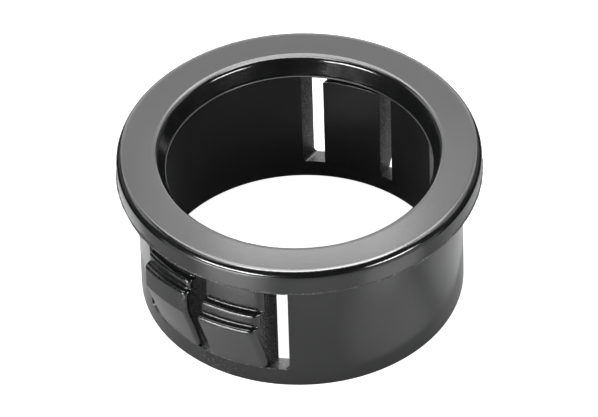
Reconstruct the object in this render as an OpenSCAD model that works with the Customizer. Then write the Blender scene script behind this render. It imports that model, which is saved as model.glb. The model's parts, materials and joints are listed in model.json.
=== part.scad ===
// Snap bushing: a one-piece moulded ring that lines a panel hole so that cables pass without chafing.
// A flange seats on the panel, a barrel goes through the hole, and two pairs of stepped spring fingers
// snap out behind the panel. Each finger is freed by an inverted-U slot and hinges at its foot.
// Origin: centre of the bottom rim. +Z: up the cable's axis, towards the flange. Millimetres.

/* [Flange] */
// Outer diameter of the flange
flange_d = 24.8; // [24:0.1:32]
// Height of the flange's edge, from its top face down to its seat on the panel
flange_t = 1.8; // [1.5:0.1:3]
// Radius of the flange's top outer edge
flange_edge_r = 0.6; // [0.2:0.05:0.8]

/* [Throat] */
// Diameter of the smooth throat that the cables pass through
throat_d = 18.2; // [14:0.1:18.6]
// Height of the throat's lip, from the top face to its underside inside the barrel
throat_h = 1.45; // [1.2:0.05:2.5]
// Height of the straight land at the lip's foot
throat_land_h = 0.25; // [0.15:0.05:0.4]
// How far the throat flares out from its land up to the top face, before its edge is rounded
throat_flare = 0.54; // [0.2:0.02:0.8]
// Radius of the throat's top edge, which the cables rub on
throat_edge_r = 0.55; // [0.3:0.05:0.8]

/* [Barrel] */
// Overall height, from the bottom rim to the flange's top face
overall_h = 11.5; // [11:0.1:16]
// Outer diameter of the barrel
barrel_d = 22.1; // [21.6:0.1:23]
// Thickness of the barrel's wall
barrel_wall = 1.1; // [0.8:0.05:1.3]
// Radius of the bottom rim's inner edge, which the cables rub on
bore_edge_r = 0.35; // [0.15:0.05:0.5]
// Radius that breaks the other sharp edges
break_r = 0.15; // [0.05:0.01:0.18]

/* [Finger pairs] */
// Width of each finger
finger_w = 4; // [3:0.1:4.4]
// Width of the slot between the two fingers of a pair
middle_slot_w = 0.95; // [0.6:0.05:1.5]
// Width of the slot on the outer side of each finger
side_slot_w = 1.3; // [0.8:0.05:1.8]
// Height of the plain band that joins the fingers' feet below the slots
foot_band_h = 1.5; // [0.8:0.1:2.5]
// Radius of the side slots' lower corners, on the barrel's side
slot_corner_r = 0.3; // [0.1:0.05:0.6]

/* [Panel steps] */
// Panel thickness held on both fingers' tops, which is also the gap above them
top_grip = 0.75; // [0.5:0.05:1]
// Panel thickness held on the thin-panel finger's upper ledge
thin_grip_1 = 1.45; // [1.2:0.05:1.7]
// Panel thickness held on the thin-panel finger's lower ledge
thin_grip_2 = 2.2; // [1.9:0.05:3.2]
// Panel thickness held on the thick-panel finger's upper ledge
thick_grip_1 = 2.7; // [2:0.05:3.2]
// Panel thickness held on the thick-panel finger's lower ledge
thick_grip_2 = 3.7; // [3.4:0.05:3.8]
// Depth below the seat at which both fingers' lead-in ramps start
ramp_depth = 4; // [4:0.05:5]
// How far the fingers' top faces stand out from the barrel
first_step = 0.42; // [0.2:0.02:0.5]
// How far the second step's face stands out from the barrel
second_step = 0.95; // [0.7:0.05:1.1]
// How far the fingers' tips stand out from the barrel
tip_step = 1.45; // [1.2:0.05:1.7]

/* [Hidden] */
$fn = 180;
flange_r = flange_d / 2;
throat_r = throat_d / 2;
barrel_r = barrel_d / 2;
bore_r = barrel_r - barrel_wall;
seat_z = overall_h - flange_t;
pair_half_w = middle_slot_w / 2 + finger_w + side_slot_w;
// How far the finger pads run into the slots beside them before the slots are cut
pad_overrun = middle_slot_w / 4;
// How far cutting shapes pass the surfaces that they open
cut_slack = 1;
// Faces of each finger from the seat down: [depth of the ledge above the face, how far it stands out]
thin_panel_steps = [[top_grip, first_step], [thin_grip_1, second_step], [thin_grip_2, tip_step]];
thick_panel_steps = [[top_grip, first_step], [thick_grip_1, second_step], [thick_grip_2, tip_step]];

// Waste outside a rounded corner: the corner is at the origin, with the material to its lower left
module corner_waste(r) {
    translate([-r, -r])
        difference() {
            square(r + cut_slack);
            circle(r);
        }
}

// Waste inside the throat's flare: a cone from the land up to the top face, with the edge between them round
module throat_waste() {
    land_z = overall_h - throat_h + throat_land_h;
    slope = atan2(overall_h - land_z, throat_flare);
    centre = [throat_r + throat_flare + throat_edge_r * tan(slope / 2), overall_h - throat_edge_r];
    difference() {
        polygon([
            [throat_r - cut_slack, land_z], [throat_r, land_z],
            centre + throat_edge_r * [-sin(slope), cos(slope)], centre,
            [centre[0], overall_h + cut_slack], [throat_r - cut_slack, overall_h + cut_slack]]);
        translate(centre) circle(throat_edge_r);
    }
}

// Half section of the plain ring, radius to the right and height upwards
module ring_section() {
    difference() {
        union() {
            translate([throat_r, overall_h - throat_h]) square([flange_r - throat_r, throat_h]);
            translate([bore_r, seat_z]) square([flange_r - bore_r, flange_t]);
            translate([bore_r, 0]) square([barrel_wall, overall_h]);
        }
        translate([flange_r, overall_h]) corner_waste(flange_edge_r);
        throat_waste();
        translate([barrel_r, 0]) mirror([0, 1]) corner_waste(break_r);
        translate([bore_r, 0]) rotate(180) corner_waste(bore_edge_r);
    }
}

// Half section of a finger's stepped pad: upright faces and flat ledges, then a ramp in to the barrel.
// The ledges' outer edges are broken.
module pad_section(steps) {
    last = len(steps) - 1;
    faces = [for (i = [0:last])
        let (x = barrel_r + steps[i][1], bottom = i < last ? steps[i + 1][0] : ramp_depth)
        each [[x, seat_z - steps[i][0]], [x, seat_z - bottom]]];
    wall_middle = barrel_r - barrel_wall / 2;
    difference() {
        polygon(concat(
            [[wall_middle, seat_z - steps[0][0]]],
            faces,
            [[barrel_r, foot_band_h], [wall_middle, foot_band_h]]));
        for (step = steps) translate([barrel_r + step[1], seat_z - step[0]]) corner_waste(break_r);
    }
}

// Pad of the -Y pair on the side that side gives: 1 for +X, -1 for -X
module finger_pad(steps, side) {
    reach = barrel_r + tip_step + cut_slack;
    near = middle_slot_w / 2 - pad_overrun;
    width = finger_w + 2 * pad_overrun;
    intersection() {
        rotate_extrude() pad_section(steps);
        translate([side > 0 ? near : -near - width, -reach, 0]) cube([width, reach, overall_h]);
    }
}

// Slots of one pair seen from outside: a window under the flange, less the two fingers left standing
module slot_pattern() {
    difference() {
        translate([-pair_half_w, foot_band_h]) square([2 * pair_half_w, seat_z - foot_band_h]);
        for (side = [-1, 1]) {
            translate([side * (middle_slot_w + finger_w) / 2 - finger_w / 2, foot_band_h - cut_slack])
                square([finger_w, seat_z - top_grip - foot_band_h + cut_slack]);
            translate([side * pair_half_w, foot_band_h])
                rotate(side > 0 ? -90 : 180) corner_waste(slot_corner_r);
        }
    }
}

// The slots' side faces are all parallel to the pair's own direction, as its mould slide leaves them
module pair_slots() {
    rotate([90, 0, 0]) linear_extrude(barrel_r + tip_step + cut_slack) slot_pattern();
}

// The whole bushing: a turned ring with the finger pads added and the slots cut through both
module snap_bushing() {
    color("#1b1c1d")
        difference() {
            union() {
                rotate_extrude() ring_section();
                for (turn = [0, 180]) rotate(turn) {
                    finger_pad(thin_panel_steps, -1);
                    finger_pad(thick_panel_steps, 1);
                }
            }
            for (turn = [0, 180]) rotate(turn) pair_slots();
        }
}

snap_bushing();
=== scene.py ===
import json
import math
from itertools import pairwise

import bmesh
import bpy
from mathutils import Matrix, Vector, noise


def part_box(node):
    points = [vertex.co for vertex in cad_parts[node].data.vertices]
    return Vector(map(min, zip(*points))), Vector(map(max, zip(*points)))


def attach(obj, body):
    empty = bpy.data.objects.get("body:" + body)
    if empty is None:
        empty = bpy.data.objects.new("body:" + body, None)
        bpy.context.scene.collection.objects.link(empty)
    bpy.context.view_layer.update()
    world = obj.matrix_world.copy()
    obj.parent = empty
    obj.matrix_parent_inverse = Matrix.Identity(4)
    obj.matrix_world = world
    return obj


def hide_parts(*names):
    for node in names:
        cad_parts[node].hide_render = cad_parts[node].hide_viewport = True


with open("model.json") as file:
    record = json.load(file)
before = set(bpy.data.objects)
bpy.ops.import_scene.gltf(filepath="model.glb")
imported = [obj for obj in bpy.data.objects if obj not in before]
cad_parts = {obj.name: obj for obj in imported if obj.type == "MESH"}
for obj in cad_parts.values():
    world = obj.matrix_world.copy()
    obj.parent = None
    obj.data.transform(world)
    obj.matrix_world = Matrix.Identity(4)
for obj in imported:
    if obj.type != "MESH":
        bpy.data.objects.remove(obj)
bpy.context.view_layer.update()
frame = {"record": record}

# Sizes, in metres. The frame gives those that it holds, and the others are the CAD part's own.
MM = 0.001
mounts = {mount["name"]: mount for mount in frame["record"]["mounts"]}
outside = Vector(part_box("snap_bushing")[1])

FLANGE_R = outside.x
FLANGE_EDGE_R = 0.6 * MM
OVERALL_H = outside.z
SEAT_Z = mounts["panel_hole"]["pos_m"][2]

THROAT_R = mounts["throat"]["dims"]["r_mm"] * MM
THROAT_H = 1.45 * MM
THROAT_LAND_H = 0.25 * MM
THROAT_FLARE = 0.54 * MM
THROAT_EDGE_R = 0.55 * MM
THROAT_LAND_EDGE_R = 0.4 * MM
LIP_Z = OVERALL_H - THROAT_H
THROAT_LAND_Z = LIP_Z + THROAT_LAND_H
LIP_CORNER_R = 0.2 * MM

# Thin flash that the mould leaves on the flange's lower edge and on the throat's.
# On the flange it comes and goes, down to its least share.
FLASH_STANDS_OUT = 0.05 * MM
FLASH_LEAST = 0.2
FLASH_H = 0.09 * MM
FLASH_EDGE_R = 0.035 * MM
WAVER = 1.6
WAVE_LENGTH = 0.45 * MM

# Broken line that the slide's edge leaves across the fingers' feet
FOOT_LINE_STANDS_OUT = 0.035 * MM
FOOT_LINE_MEAN = 0.4
FOOT_LINE_W = 0.07 * MM

BARREL_R = 11.05 * MM
BARREL_WALL = 1.1 * MM
BORE_R = BARREL_R - BARREL_WALL
RIM_OUTER_EDGE_R = 0.15 * MM
RIM_INNER_EDGE_R = 0.35 * MM

FINGER_W = 4 * MM
MIDDLE_SLOT_W = 0.95 * MM
SIDE_SLOT_W = 1.3 * MM
SLOT_CORNER_R = 0.3 * MM
FOOT_Z = 1.5 * MM
BAND_TOP_Z = FOOT_Z + SLOT_CORNER_R
PAIR_HALF_W = MIDDLE_SLOT_W / 2 + FINGER_W + SIDE_SLOT_W

# Each finger's faces from the seat down: depth of the ledge above the face, and how far it stands out
TOP_GRIP = 0.75 * MM
FIRST_STEP = 0.42 * MM
SECOND_STEP = 0.95 * MM
TIP_STEP = math.hypot(outside.y, MIDDLE_SLOT_W / 2) - BARREL_R
THIN_PANEL_STEPS = [(TOP_GRIP, FIRST_STEP), (1.45 * MM, SECOND_STEP), (2.2 * MM, TIP_STEP)]
THICK_PANEL_STEPS = [(TOP_GRIP, FIRST_STEP), (2.7 * MM, SECOND_STEP), (3.7 * MM, TIP_STEP)]
RAMP_DEPTH = 4 * MM

# Edges and corners of the fingers as the mould leaves them
LEDGE_EDGE_R = 0.26 * MM
LEDGE_CORNER_R = 0.11 * MM
TOP_INNER_EDGE_R = 0.04 * MM
RAMP_CREST_R = 0.3 * MM
LEFT_SIDE_EDGE_R = 0.08 * MM
RIGHT_SIDE_EDGE_R = 0.35 * MM
LEDGE_SHARE_OF_INSET = 0.35

# How far a face has the dull finish and pale grey specks that the mould's slides leave
SLOT_CUT = 1
FINGER_CUT = 0.12
BAND_CUT = 0.25
# The flash and the slide's line go past 1. Their pale specks are partly the flash's own paler tone and
# partly painted highlight for the glints that these thin edges catch.
FLASH_CUT_AND_GLINT = 2.5

# Fineness of the mesh
ARC_STEPS = 8
EDGE_STEPS = 4
SLOT_STEPS = 4
FINGER_STEPS = 24
WINDOW_STEPS = 24
PLAIN_STEPS = 44
MOST_OF_A_SIDE = 0.95
WELD = 0.001 * MM
SMOOTH_COS = math.cos(math.radians(40))
HALVES = 2


def spread(start, end, steps):
    """Evenly spaced values from start to end, both included."""
    return [start + (end - start) * i / steps for i in range(steps + 1)]


def rounded(corners, radii):
    """Open outline whose inner corners are arcs, made smaller where two arcs would meet on a side."""
    sides = [after - before for before, after in pairwise(corners)]
    half_angles = [(-side).angle(after) / 2 for side, after in pairwise(sides)]
    reaches = [0] + [radius / math.tan(half) for radius, half in zip(radii, half_angles)] + [0]
    room = [min(1, MOST_OF_A_SIDE * side.length / (start + end))
            for side, (start, end) in zip(sides, pairwise(reaches))]
    points = [corners[0]]
    for i, half_angle in enumerate(half_angles):
        corner, back, ahead = corners[i + 1], -sides[i].normalized(), sides[i + 1].normalized()
        reach = reaches[i + 1] * min(room[i], room[i + 1])
        centre = corner + (back + ahead).normalized() * reach / math.cos(half_angle)
        spoke = corner + back * reach - centre
        turn = math.pi - 2 * half_angle
        if back.x * ahead.y - back.y * ahead.x > 0:
            turn = -turn
        points += [centre + Matrix.Rotation(angle, 2) @ spoke for angle in spread(0, turn, ARC_STEPS)]
    return points + [corners[-1]]


def drawn_in(corners, insets):
    """Closed outline, drawn anticlockwise, after each side has moved inwards by its own inset."""
    sides = []
    for corner, after, inset in zip(corners, corners[1:] + corners[:1], insets):
        along = (after - corner).normalized()
        sides.append((corner + Vector((-along.y, along.x)) * inset, along))
    moved = []
    for (start, along), (next_start, next_along) in zip(sides[-1:] + sides, sides):
        gap = next_start - start
        lean = along.x * next_along.y - along.y * next_along.x
        reach = (gap.x * next_along.y - gap.y * next_along.x) / lean
        moved.append(start + along * reach)
    return moved


def upright(u):
    """Column at a distance u from the finger pair's middle plane, as the mould's slide leaves the slots."""
    return lambda radius: u


def swung(share, side):
    """Column of the plain ring, at a share of the way from the part's side to the pair's window."""
    def across(radius):
        window_angle = math.asin(PAIR_HALF_W / radius)
        return side * radius * math.sin((1 - share) * math.pi / 2 + share * window_angle)
    return across


def at(column, point):
    """Place on a column of an outline's point, which holds a radius and a height."""
    radius, height = point
    x = column(radius)
    return Vector((x, -math.sqrt(max(radius**2 - x**2, 0)), height))


def waver(place):
    """A smooth value about 0 that comes and goes along the mould's lines."""
    return WAVER * noise.noise(place / WAVE_LENGTH)


class Shell:
    """Mesh of the moulding, built up from strips. Each face keeps how far a slide has cut it, which the
    material also turns into pale specks; on the flash lines it goes past 1, partly for painted highlight.
    """

    def __init__(self):
        self.mesh = bmesh.new()
        self.cut = self.mesh.faces.layers.float.new("slide_face")

    def face(self, places, cut=0):
        face = self.mesh.faces.new([self.mesh.verts.new(place) for place in places])
        face[self.cut] = cut

    def strip(self, columns, outlines, cut=0):
        rows = [[at(column, point) for point in outline] for column, outline in zip(columns, outlines)]
        for left, right in pairwise(rows):
            for (a, b), (c, d) in zip(pairwise(left), pairwise(right)):
                self.face((a, c, d, b), cut)


def flange_outline(column):
    """From the barrel's top out along the seat, over the flange and down the throat to the bore's top.
    The flash's waver fades out towards the planes where the halves join."""
    edge = at(column, (FLANGE_R, SEAT_Z))
    share = 1 + waver(edge) * abs(edge.y) / FLANGE_R
    flash_r = FLANGE_R + FLASH_STANDS_OUT * max(share, FLASH_LEAST)
    corners = [Vector(corner) for corner in (
        (BARREL_R, SEAT_Z), (flash_r, SEAT_Z), (flash_r, SEAT_Z + FLASH_H), (FLANGE_R, SEAT_Z + FLASH_H),
        (FLANGE_R, OVERALL_H), (THROAT_R + THROAT_FLARE, OVERALL_H), (THROAT_R, THROAT_LAND_Z),
        (THROAT_R, LIP_Z + FLASH_H), (THROAT_R - FLASH_STANDS_OUT, LIP_Z + FLASH_H),
        (THROAT_R - FLASH_STANDS_OUT, LIP_Z), (BORE_R, LIP_Z), (BORE_R, SEAT_Z))]
    return rounded(corners, (
        FLASH_EDGE_R, FLASH_EDGE_R, FLASH_EDGE_R, FLANGE_EDGE_R, THROAT_EDGE_R, THROAT_LAND_EDGE_R,
        FLASH_EDGE_R, FLASH_EDGE_R, FLASH_EDGE_R, LIP_CORNER_R))


def add_flange(shell, columns):
    """The flange and throat over some columns. The flash, whose three corners come first, is dull, with
    pale specks that are partly painted highlight.
    """
    outlines = [flange_outline(column) for column in columns]
    flash_start, flash_end = 1, 3 * (ARC_STEPS + 1)
    shell.strip(columns, [outline[:flash_start + 1] for outline in outlines])
    shell.strip(columns, [outline[flash_start:flash_end + 1] for outline in outlines], cut=FLASH_CUT_AND_GLINT)
    shell.strip(columns, [outline[flash_end:] for outline in outlines])


def foot_line(column):
    """How far the slide's line stands out at a column."""
    place = at(column, (BARREL_R, FOOT_Z))
    return FOOT_LINE_STANDS_OUT * max(FOOT_LINE_MEAN + waver(place), 0)


def rim_outline(top, line=0):
    """From a height on the barrel's outside down round the bottom rim and back up inside.
    The first two steps down pass over the slide's line."""
    corners = [Vector(corner) for corner in ((BARREL_R, top), (BARREL_R, 0), (BORE_R, 0), (BORE_R, top))]
    crest = Vector((BARREL_R + line, top - FOOT_LINE_W / 2))
    foot = Vector((BARREL_R, top - FOOT_LINE_W))
    return [corners[0], crest, foot] + rounded(corners, (RIM_OUTER_EDGE_R, RIM_INNER_EDGE_R))[1:]


def finger_outline(steps, inset):
    """From a finger's foot up its ramp, over its ledges and top and down inside, drawn in by an inset."""
    ledges = list(reversed(steps))
    corners = [(BARREL_R, FOOT_Z), (BARREL_R + TIP_STEP, SEAT_Z - RAMP_DEPTH)]
    insets, radii = [inset, inset], [RAMP_CREST_R]
    for (depth, reach), (_, next_reach) in pairwise(ledges):
        corners += [(BARREL_R + reach, SEAT_Z - depth), (BARREL_R + next_reach, SEAT_Z - depth)]
        insets += [inset * LEDGE_SHARE_OF_INSET, inset]
        radii += [LEDGE_EDGE_R, LEDGE_CORNER_R]
    top_depth, top_reach = ledges[-1]
    top_z = SEAT_Z - top_depth
    corners += [(BARREL_R + top_reach, top_z), (BORE_R, top_z), (BORE_R, FOOT_Z)]
    insets += [inset * LEDGE_SHARE_OF_INSET, 0, 0]
    radii += [LEDGE_EDGE_R, TOP_INNER_EDGE_R]
    return rounded(drawn_in([Vector(corner) for corner in corners], insets), radii)


def finger_columns(start):
    """Columns of a finger from its left side to its right, each with its distance u and its inset."""
    end = start + FINGER_W
    left = [(start + LEFT_SIDE_EDGE_R * (1 - math.cos(turn)), LEFT_SIDE_EDGE_R * (1 - math.sin(turn)))
            for turn in spread(0, math.pi / 2, EDGE_STEPS)]
    right = [(end - RIGHT_SIDE_EDGE_R * (1 - math.cos(turn)), RIGHT_SIDE_EDGE_R * (1 - math.sin(turn)))
             for turn in spread(math.pi / 2, 0, EDGE_STEPS)]
    middle = [(u, 0) for u in spread(left[-1][0], right[0][0], FINGER_STEPS)[1:-1]]
    return left + middle + right


def add_finger(shell, steps, start):
    """A finger whose left side is at u = start. Returns its columns' distances and its two side feet."""
    placed = finger_columns(start)
    columns = [upright(u) for u, _ in placed]
    outlines = [finger_outline(steps, inset) for _, inset in placed]
    band_top = Vector((BARREL_R, FOOT_Z))
    shell.strip(columns, [outline[:-1] for outline in outlines], cut=FINGER_CUT)
    shell.strip(columns, [outline[-2:] for outline in outlines])
    shell.strip(columns, [[band_top, outline[0]] for outline in outlines], cut=FINGER_CUT)
    for end in (0, -1):
        shell.face([at(columns[end], point) for point in outlines[end]], cut=SLOT_CUT)
    return [u for u, _ in placed], outlines[0][0], outlines[-1][0]


def floor_z(distance):
    """Height of a side slot's floor at a distance from the slot's wall in the barrel."""
    rise = max(SLOT_CORNER_R - distance, 0)
    return FOOT_Z + SLOT_CORNER_R - math.sqrt(SLOT_CORNER_R**2 - rise**2)


def add_window_rim(shell, us):
    """The band below a finger pair, with the slide's line at its top, whose pale specks are partly painted
    highlight, and a grain that fades sideways.
    """
    window = [upright(u) for u in us]
    floors = [floor_z(PAIR_HALF_W - abs(u)) for u in us]
    lines = [0] + [foot_line(column) for column in window[1:-1]] + [0]
    rims = [rim_outline(floor, line) for floor, line in zip(floors, lines)]
    line_end, band_end = 2, 3
    shell.strip(window, [rim[:line_end + 1] for rim in rims], cut=FLASH_CUT_AND_GLINT)
    bands = [rim[line_end:band_end + 1] for rim in rims]
    for (u, next_u), pair in zip(pairwise(us), pairwise(bands)):
        fade = 1 - abs(u + next_u) / 2 / PAIR_HALF_W
        shell.strip([upright(u), upright(next_u)], pair, cut=BAND_CUT * fade)
    shell.strip(window, [rim[band_end:] for rim in rims], cut=FINGER_CUT)


def half_bushing():
    """Half of the moulding, round the finger pair that faces -Y, up to where the other half joins."""
    shell = Shell()
    thin_us, thin_left_foot, thin_right_foot = add_finger(
        shell, THIN_PANEL_STEPS, -MIDDLE_SLOT_W / 2 - FINGER_W)
    thick_us, thick_left_foot, thick_right_foot = add_finger(shell, THICK_PANEL_STEPS, MIDDLE_SLOT_W / 2)

    corner_share = [SLOT_CORNER_R * (1 - math.cos(turn)) for turn in spread(0, math.pi / 2, EDGE_STEPS)]
    across_slot = corner_share + spread(SLOT_CORNER_R, SIDE_SLOT_W, SLOT_STEPS)[1:]
    left_us = [-PAIR_HALF_W + distance for distance in across_slot]
    right_us = [PAIR_HALF_W - distance for distance in reversed(across_slot)]
    middle_us = spread(-MIDDLE_SLOT_W / 2, MIDDLE_SLOT_W / 2, SLOT_STEPS)
    slot_floor = [floor_z(distance) for distance in across_slot]

    for us, heights, left_foot, right_foot in (
            (left_us, slot_floor, thin_left_foot, thin_left_foot),
            (middle_us, [FOOT_Z] * len(middle_us), thin_right_foot, thick_left_foot),
            (right_us, slot_floor[::-1], thick_right_foot, thick_right_foot)):
        feet = spread(left_foot.x, right_foot.x, len(us) - 1)
        shell.strip([upright(u) for u in us], [
            [Vector((radius, height)) for radius in (BARREL_R, foot, BORE_R)]
            for foot, height in zip(feet, heights)], cut=SLOT_CUT)

    add_window_rim(shell, left_us[:-1] + thin_us + middle_us[1:-1] + thick_us + right_us[1:])
    above_window = [upright(u) for u in spread(-PAIR_HALF_W, PAIR_HALF_W, WINDOW_STEPS)]
    ceiling = [Vector((radius, SEAT_Z)) for radius in (BARREL_R, BORE_R)]
    shell.strip(above_window, [ceiling] * len(above_window), cut=SLOT_CUT)
    add_flange(shell, above_window)

    for side, foot in ((-1, thin_left_foot), (1, thick_right_foot)):
        plain = [swung(share, side) for share in spread(0, 1, PLAIN_STEPS)]
        shell.strip(plain, [rim_outline(BAND_TOP_Z)] * len(plain))
        add_flange(shell, plain)
        for radius in (BARREL_R, BORE_R):
            wall = [Vector((radius, height)) for height in (BAND_TOP_Z, SEAT_Z)]
            shell.strip(plain, [wall] * len(plain))
        slot_side = ((BARREL_R, SEAT_Z), (BORE_R, SEAT_Z), (BORE_R, BAND_TOP_Z), (foot.x, BAND_TOP_Z),
                     (BARREL_R, BAND_TOP_Z))
        shell.face([at(plain[-1], point) for point in slot_side], cut=SLOT_CUT)
    bmesh.ops.remove_doubles(shell.mesh, verts=shell.mesh.verts, dist=WELD)
    bmesh.ops.dissolve_degenerate(shell.mesh, edges=shell.mesh.edges, dist=WELD)
    mesh = bpy.data.meshes.new("half_bushing")
    shell.mesh.to_mesh(mesh)
    shell.mesh.free()
    return mesh


class Socket:
    """A node's socket that Python's operators work on. An expression adds its Math nodes to the tree."""

    def __init__(self, tree, socket=None):
        self.tree, self.socket = tree, socket

    def node(self, kind, settings=None, values=None, output=0):
        node = self.tree.nodes.new(kind)
        for name, setting in (settings or {}).items():
            setattr(node, name, setting)
        for name, value in (values or {}).items():
            if isinstance(value, Socket):
                self.tree.links.new(value.socket, node.inputs[name])
            else:
                node.inputs[name].default_value = value
        return Socket(self.tree, node.outputs[output] if len(node.outputs) else None)

    def beside(self, output):
        """Another output of the same node."""
        return Socket(self.tree, self.socket.node.outputs[output])

    def math(self, operation, first, second):
        return self.node("ShaderNodeMath", {"operation": operation}, {0: first, 1: second})

    def __add__(self, other):
        return self.math("ADD", self, other)

    __radd__ = __add__

    def __sub__(self, other):
        return self.math("SUBTRACT", self, other)

    def __rsub__(self, other):
        return self.math("SUBTRACT", other, self)

    def __mul__(self, other):
        return self.math("MULTIPLY", self, other)

    __rmul__ = __mul__


# The nylon's colours, and what its grain, clouds and pits do to its gloss and height
DEEP_BLACK = (0.004, 0.0042, 0.0044, 1)
PALE_BLACK = (0.007, 0.0073, 0.0076, 1)
SPECK_AND_GLINT_GREY = (0.12, 0.122, 0.124, 1)
SPECK_CONTRAST, SPECK_THRESHOLD = 14, 7.7
NYLON_IOR = 1.6
NOISE_MEAN = 0.5
GLOSS, CUT_DULLS = 0.135, 0.18
CLOUDS_DULL, GRAIN_DULLS, PITS_DULL = 0.1, 0.06, 0.4
GRAIN_HEIGHT, PIT_HEIGHT, DRAG_HEIGHT = 0.8, 2, 2
BUMP_DEPTH = 0.006 * MM


def black_nylon():
    """Satin black moulded nylon: a fine even grain and a cloudy gloss, duller and pale-specked where the
    slides cut it. On the flash lines the pale specks are partly painted highlight.
    """
    material = bpy.data.materials.new("black_nylon")
    material.use_nodes = True
    tree = material.node_tree
    tree.nodes.clear()
    start = Socket(tree)
    place = start.node("ShaderNodeTexCoord", output="Object")
    cut = start.node("ShaderNodeAttribute", {"attribute_name": "slide_face"}, output="Fac")

    def specks(per_mm, detail, stretch=(1, 1, 1)):
        stretched = start.node("ShaderNodeVectorMath", {"operation": "MULTIPLY"}, {0: place, 1: stretch})
        return start.node("ShaderNodeTexNoise", {}, {
            "Vector": stretched, "Scale": per_mm / MM, "Detail": detail, "Roughness": 0.6}, output="Fac")

    def mixed(share, first, second):
        values = {0: share, 6: first, 7: second}
        return start.node("ShaderNodeMix", {"data_type": "RGBA"}, values, output=2)

    grain = specks(per_mm=9, detail=3)
    clouds = specks(per_mm=0.9, detail=2, stretch=(1, 1, 0.25))
    pits = specks(per_mm=8, detail=2)
    drag = specks(per_mm=8, detail=2, stretch=(1, 0.1, 1))
    black = mixed(clouds, DEEP_BLACK, PALE_BLACK)
    # Pale grey specks where the slides cut. On the flash and the slide's line, where the share goes past 1,
    # they are partly painted highlight.
    shade = mixed(cut * (pits * SPECK_CONTRAST - SPECK_THRESHOLD), black, SPECK_AND_GLINT_GREY)
    polish = GLOSS + (clouds - NOISE_MEAN) * CLOUDS_DULL + (grain - NOISE_MEAN) * GRAIN_DULLS
    roughness = polish + cut * (CUT_DULLS + (pits - NOISE_MEAN) * PITS_DULL)
    height = (grain - NOISE_MEAN) * GRAIN_HEIGHT + cut * (pits * PIT_HEIGHT + drag * DRAG_HEIGHT)
    bump = start.node("ShaderNodeBump", {}, {"Height": height, "Distance": BUMP_DEPTH, "Strength": 1})
    surface = start.node("ShaderNodeBsdfPrincipled", {}, {
        "Base Color": shade, "Roughness": roughness, "IOR": NYLON_IOR, "Normal": bump})
    start.node("ShaderNodeOutputMaterial", {}, {"Surface": surface})
    return material


def turned_halves_tree(material):
    """Nodes that set copies of the half round the throat's axis, weld them and give them a material."""
    tree = bpy.data.node_groups.new("turned_halves", "GeometryNodeTree")
    face = tree.interface
    face.new_socket("Half", in_out="INPUT", socket_type="NodeSocketGeometry")
    count = face.new_socket("Halves", in_out="INPUT", socket_type="NodeSocketInt")
    weld = face.new_socket("Weld Distance", in_out="INPUT", socket_type="NodeSocketFloat")
    face.new_socket("Bushing", in_out="OUTPUT", socket_type="NodeSocketGeometry")
    start = Socket(tree)
    half = start.node("NodeGroupInput", output="Half")
    halves = half.beside("Halves")
    centres = start.node("GeometryNodePoints", {}, {"Count": halves})
    index = start.node("GeometryNodeInputIndex")
    angle = index * start.math("DIVIDE", 2 * math.pi, halves)
    turn = start.node("ShaderNodeCombineXYZ", {}, {"Z": angle})
    set_round = start.node("GeometryNodeInstanceOnPoints", {}, {
        "Points": centres, "Instance": half, "Rotation": turn})
    joined = start.node("GeometryNodeRealizeInstances", {}, {"Geometry": set_round})
    welded = start.node("GeometryNodeMergeByDistance", {}, {
        "Geometry": joined, "Distance": half.beside("Weld Distance")})
    finished = start.node("GeometryNodeSetMaterial", {}, {"Geometry": welded, "Material": material})
    start.node("NodeGroupOutput", {}, {"Bushing": finished})
    return tree, {count.identifier: HALVES, weld.identifier: WELD}


def set_even_normals(mesh):
    """Shade each corner by the mean of the faces that meet there, weighted by area, so that a flat face
    stays flat up to the rounded edges beside it."""
    around = [[] for _ in mesh.vertices]
    for face in mesh.polygons:
        for vertex in face.vertices:
            around[vertex].append((face.normal.copy(), face.normal * face.area))
    normals = []
    for face in mesh.polygons:
        for vertex in face.vertices:
            smooth = [weighted for normal, weighted in around[vertex]
                      if normal.dot(face.normal) > SMOOTH_COS]
            normals.append(sum(smooth, Vector((0, 0, 0))).normalized())
    mesh.normals_split_custom_set(normals)


def whole_bushing(material):
    """The bushing as one plain mesh."""
    half = bpy.data.objects.new("half_bushing", half_bushing())
    bpy.context.scene.collection.objects.link(half)
    tree, inputs = turned_halves_tree(material)
    modifier = half.modifiers.new("turned_halves", "NODES")
    modifier.node_group = tree
    for identifier, value in inputs.items():
        modifier[identifier] = value
    evaluated = half.evaluated_get(bpy.context.evaluated_depsgraph_get())
    mesh = bpy.data.meshes.new_from_object(evaluated)
    bpy.data.objects.remove(half)

    whole = bmesh.new()
    whole.from_mesh(mesh)
    bmesh.ops.recalc_face_normals(whole, faces=whole.faces)
    whole.to_mesh(mesh)
    whole.free()
    mesh.shade_smooth()
    set_even_normals(mesh)
    mesh.name = "bushing"
    bushing = bpy.data.objects.new("bushing", mesh)
    bpy.context.scene.collection.objects.link(bushing)
    return bushing


# The photograph's camera: where it stands about the flange's top, and where that point is in the picture
PHOTO_W = 598
CAMERA_AZIMUTH = math.radians(37.1)
CAMERA_ELEVATION = math.radians(41.98)
CAMERA_ROLL = math.radians(-1.8)
CAMERA_DISTANCE = 546.3 * MM
CAMERA_NEAR, CAMERA_FAR = 0.01, 10
FOCAL_PX = 8076
TARGET_RIGHT_PX, TARGET_ABOVE_PX = -0.2, 58.4
SENSOR_W = 36

# The floor, and how much of the white that the camera sees shows in the gloss
FLOOR_REACH = 3
FLOOR_WHITE = 0.8
ROOM_DIM = 0.03
GLOSS_SHARE = 0.03
POOL_LAMP_H = 250 * MM
FLAG_AWAY = 27 * MM
FLAG_AHEAD, FLAG_BEHIND = 10 * MM, -32 * MM

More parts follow.
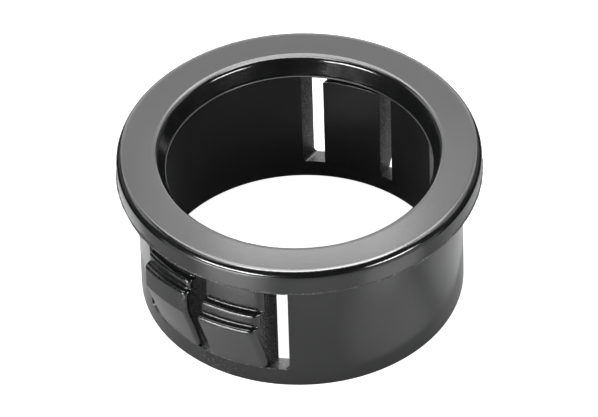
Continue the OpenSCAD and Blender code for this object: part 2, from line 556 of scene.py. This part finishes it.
# Name, azimuth and elevation in degrees, distance, width and height in metres, and radiance, where 1 is
# white. Azimuths start at the camera and grow to the picture's right.
GLOSS_LAMPS = [
    ("overhead_softbox", 180, 83, 0.145, 0.129, 0.078, 9),
    ("front_strip", 20, 80, 0.0406, 0.042, 0.011, 11),
    ("rear_softbox", 180, 61, 0.3, 0.28, 0.074, 7),
    ("right_softbox", 116, 55, 0.3, 0.16, 0.06, 5),
    ("left_softbox", -82, 58, 0.3, 0.12, 0.06, 2.5),
    ("rear_card", 180, 27, 0.5, 0.7, 0.53, 2.5),
    ("left_wing", -122, 37, 0.4, 0.24, 0.14, 2.2),
    ("right_wing", 119, 38, 0.4, 0.3, 0.15, 1.8),
    ("left_low_wing", -130, 10, 0.5, 0.3, 0.15, 0.4),
    ("right_low_wing", 130, 10, 0.5, 0.3, 0.15, 0.4),
    ("front_glow", 177.5, 50, 0.042, 0.025, 0.014, 0.65),
    ("front_glow_core", 177.5, 50, 0.041, 0.014, 0.007, 3.1),
    ("left_card", -40, 17, 0.3, 0.19, 0.05, 34),
    ("right_card", 51, 17, 0.3, 0.13, 0.045, 28)]
FLOOR_LAMPS = [
    ("front_key", 0, 15, 0.4, 0.5, 0.2, 2),
    ("left_key", -90, 15, 0.4, 0.5, 0.2, 10),
    ("right_key", 90, 15, 0.4, 0.5, 0.2, 7.5),
    ("rear_key", 180, 15, 0.4, 0.5, 0.2, 1.3)]
# Name, azimuth in degrees, reach and radius in millimetres, and radiance
FLOOR_POOLS = [
    ("left_pool", -33.5, 27.5, 10.5, 1.9),
    ("far_left_pool", -38, 67, 30, 16),
    ("front_pool", 5, 29, 13, 0.2),
    ("right_pool", 44, 27, 10, 1.2),
    ("near_right_pool", 40, 16, 7.5, 0.45),
    ("left_side_pool", -101, 17, 7.5, 1.25),
    ("right_side_pool", 92, 17, 9, 0.5),
    ("inner_pool", -140, 4, 3.2, 0.2),
    ("inner_glow", 0, 0, 9, 0.08)]


def toward(azimuth, elevation):
    """Direction from the bushing. The azimuth starts at the camera and grows to the picture's right."""
    turn = CAMERA_AZIMUTH + azimuth
    level = Vector((math.sin(turn), -math.cos(turn), 0))
    return level * math.cos(elevation) + Vector((0, 0, math.sin(elevation)))


def add_camera():
    camera = bpy.data.cameras.new("photo_camera")
    camera.sensor_fit = "HORIZONTAL"
    camera.sensor_width = SENSOR_W
    camera.lens = FOCAL_PX * SENSOR_W / PHOTO_W
    camera.clip_start, camera.clip_end = CAMERA_NEAR, CAMERA_FAR
    back = toward(0, CAMERA_ELEVATION)
    level_right = Vector((0, 0, 1)).cross(back).normalized()
    level_up = back.cross(level_right)
    right = level_right * math.cos(CAMERA_ROLL) + level_up * math.sin(CAMERA_ROLL)
    up = level_up * math.cos(CAMERA_ROLL) - level_right * math.sin(CAMERA_ROLL)
    aim = (right * TARGET_RIGHT_PX + up * TARGET_ABOVE_PX) / FOCAL_PX
    back = (back + aim).normalized()
    right = up.cross(back).normalized()
    up = back.cross(right)
    holder = bpy.data.objects.new("photo_camera", camera)
    holder.matrix_world = Matrix((right, up, back)).transposed().to_4x4()
    holder.location = Vector((0, 0, OVERALL_H)) + toward(0, CAMERA_ELEVATION) * CAMERA_DISTANCE
    bpy.context.scene.collection.objects.link(holder)
    bpy.context.scene.camera = holder


def add_lamp(name, azimuth, elevation, distance, width, height, radiance, lights_floor):
    """A flat lamp that faces the bushing. It either lights the floor, or shows in the bushing's gloss as
    a card does."""
    lamp = bpy.data.lights.new(name, "AREA")
    lamp.shape = "RECTANGLE"
    lamp.size, lamp.size_y = width, height
    lamp.energy = radiance * math.pi * width * height
    holder = bpy.data.objects.new(name, lamp)
    direction = toward(math.radians(azimuth), math.radians(elevation))
    holder.location = Vector((0, 0, OVERALL_H)) + direction * distance
    holder.rotation_euler = direction.to_track_quat("Z", "Y").to_euler()
    holder.visible_camera = False
    holder.visible_diffuse = lights_floor
    holder.visible_glossy = not lights_floor
    bpy.context.scene.collection.objects.link(holder)


def add_floor_pool(name, azimuth, reach, radius, radiance):
    """A soft pool of light on the floor, at a reach from the throat's axis, for the bushing's gloss."""
    lamp = bpy.data.lights.new(name, "SPOT")
    lamp.spot_size = 2 * math.atan(radius / POOL_LAMP_H)
    lamp.spot_blend = 1
    lamp.energy = radiance * 4 * math.pi * math.pi * POOL_LAMP_H**2 / FLOOR_WHITE
    holder = bpy.data.objects.new(name, lamp)
    holder.location = toward(math.radians(azimuth), 0) * reach + Vector((0, 0, POOL_LAMP_H))
    holder.visible_camera = False
    holder.visible_glossy = False
    bpy.context.scene.collection.objects.link(holder)


def add_flag(name, side):
    """A black card that stands beside the bushing, on the picture's right for 1 and left for -1. It shows
    only in the bushing's gloss, as the dark line round the flange's sides."""
    across, ahead = toward(side * math.pi / 2, 0) * FLAG_AWAY, toward(0, 0)
    front, rear = across + ahead * FLAG_AHEAD, across + ahead * FLAG_BEHIND
    raised = Vector((0, 0, OVERALL_H))
    mesh = bpy.data.meshes.new(name)
    mesh.from_pydata([front, rear, rear + raised, front + raised], [], [(0, 1, 2, 3)])
    material = bpy.data.materials.new(name)
    material.use_nodes = True
    inputs = material.node_tree.nodes["Principled BSDF"].inputs
    inputs["Base Color"].default_value = (0, 0, 0, 1)
    inputs["Specular IOR Level"].default_value = 0
    mesh.materials.append(material)
    flag = bpy.data.objects.new(name, mesh)
    flag.visible_camera = flag.visible_diffuse = flag.visible_shadow = flag.visible_transmission = False
    bpy.context.scene.collection.objects.link(flag)


def white_to_camera(start):
    """Strength of a backdrop that is white to the camera and faint in the gloss."""
    seen = start.node("ShaderNodeLightPath", output="Is Camera Ray")
    return seen + (seen.beside("Is Glossy Ray") + seen.beside("Is Transmission Ray")) * GLOSS_SHARE


def add_floor():
    material = bpy.data.materials.new("pale_floor")
    material.use_nodes = True
    material.node_tree.nodes.clear()
    start = Socket(material.node_tree)
    matt = start.node("ShaderNodeBsdfDiffuse", {}, {"Color": (FLOOR_WHITE, FLOOR_WHITE, FLOOR_WHITE, 1)})
    white = start.node("ShaderNodeEmission", {}, {"Strength": white_to_camera(start)})
    surface = start.node("ShaderNodeAddShader", {}, {0: matt, 1: white})
    start.node("ShaderNodeOutputMaterial", {}, {"Surface": surface})
    mesh = bpy.data.meshes.new("floor")
    corners = [(x * FLOOR_REACH, y * FLOOR_REACH, 0) for x, y in ((-1, -1), (1, -1), (1, 1), (-1, 1))]
    mesh.from_pydata(corners, [], [(0, 1, 2, 3)])
    mesh.materials.append(material)
    floor = bpy.data.objects.new("floor", mesh)
    bpy.context.scene.collection.objects.link(floor)


def add_room():
    world = bpy.data.worlds.new("studio")
    world.use_nodes = True
    bpy.context.scene.world = world
    world.node_tree.nodes.clear()
    start = Socket(world.node_tree)
    light = start.node("ShaderNodeBackground", {}, {"Strength": white_to_camera(start) + ROOM_DIM})
    start.node("ShaderNodeOutputWorld", {}, {"Surface": light})


def add_studio():
    """Pale floor, dim room, soft lamps and two black flags."""
    add_floor()
    add_room()
    for lamp in GLOSS_LAMPS:
        add_lamp(*lamp, lights_floor=False)
    for lamp in FLOOR_LAMPS:
        add_lamp(*lamp, lights_floor=True)
    for name, azimuth, reach, radius, radiance in FLOOR_POOLS:
        add_floor_pool(name, azimuth, reach * MM, radius * MM, radiance)
    add_flag("left_flag", -1)
    add_flag("right_flag", 1)
    bpy.context.scene.view_settings.view_transform = "Standard"


bushing = whole_bushing(black_nylon())
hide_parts("snap_bushing")
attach(bushing, "root")
add_camera()
add_studio()
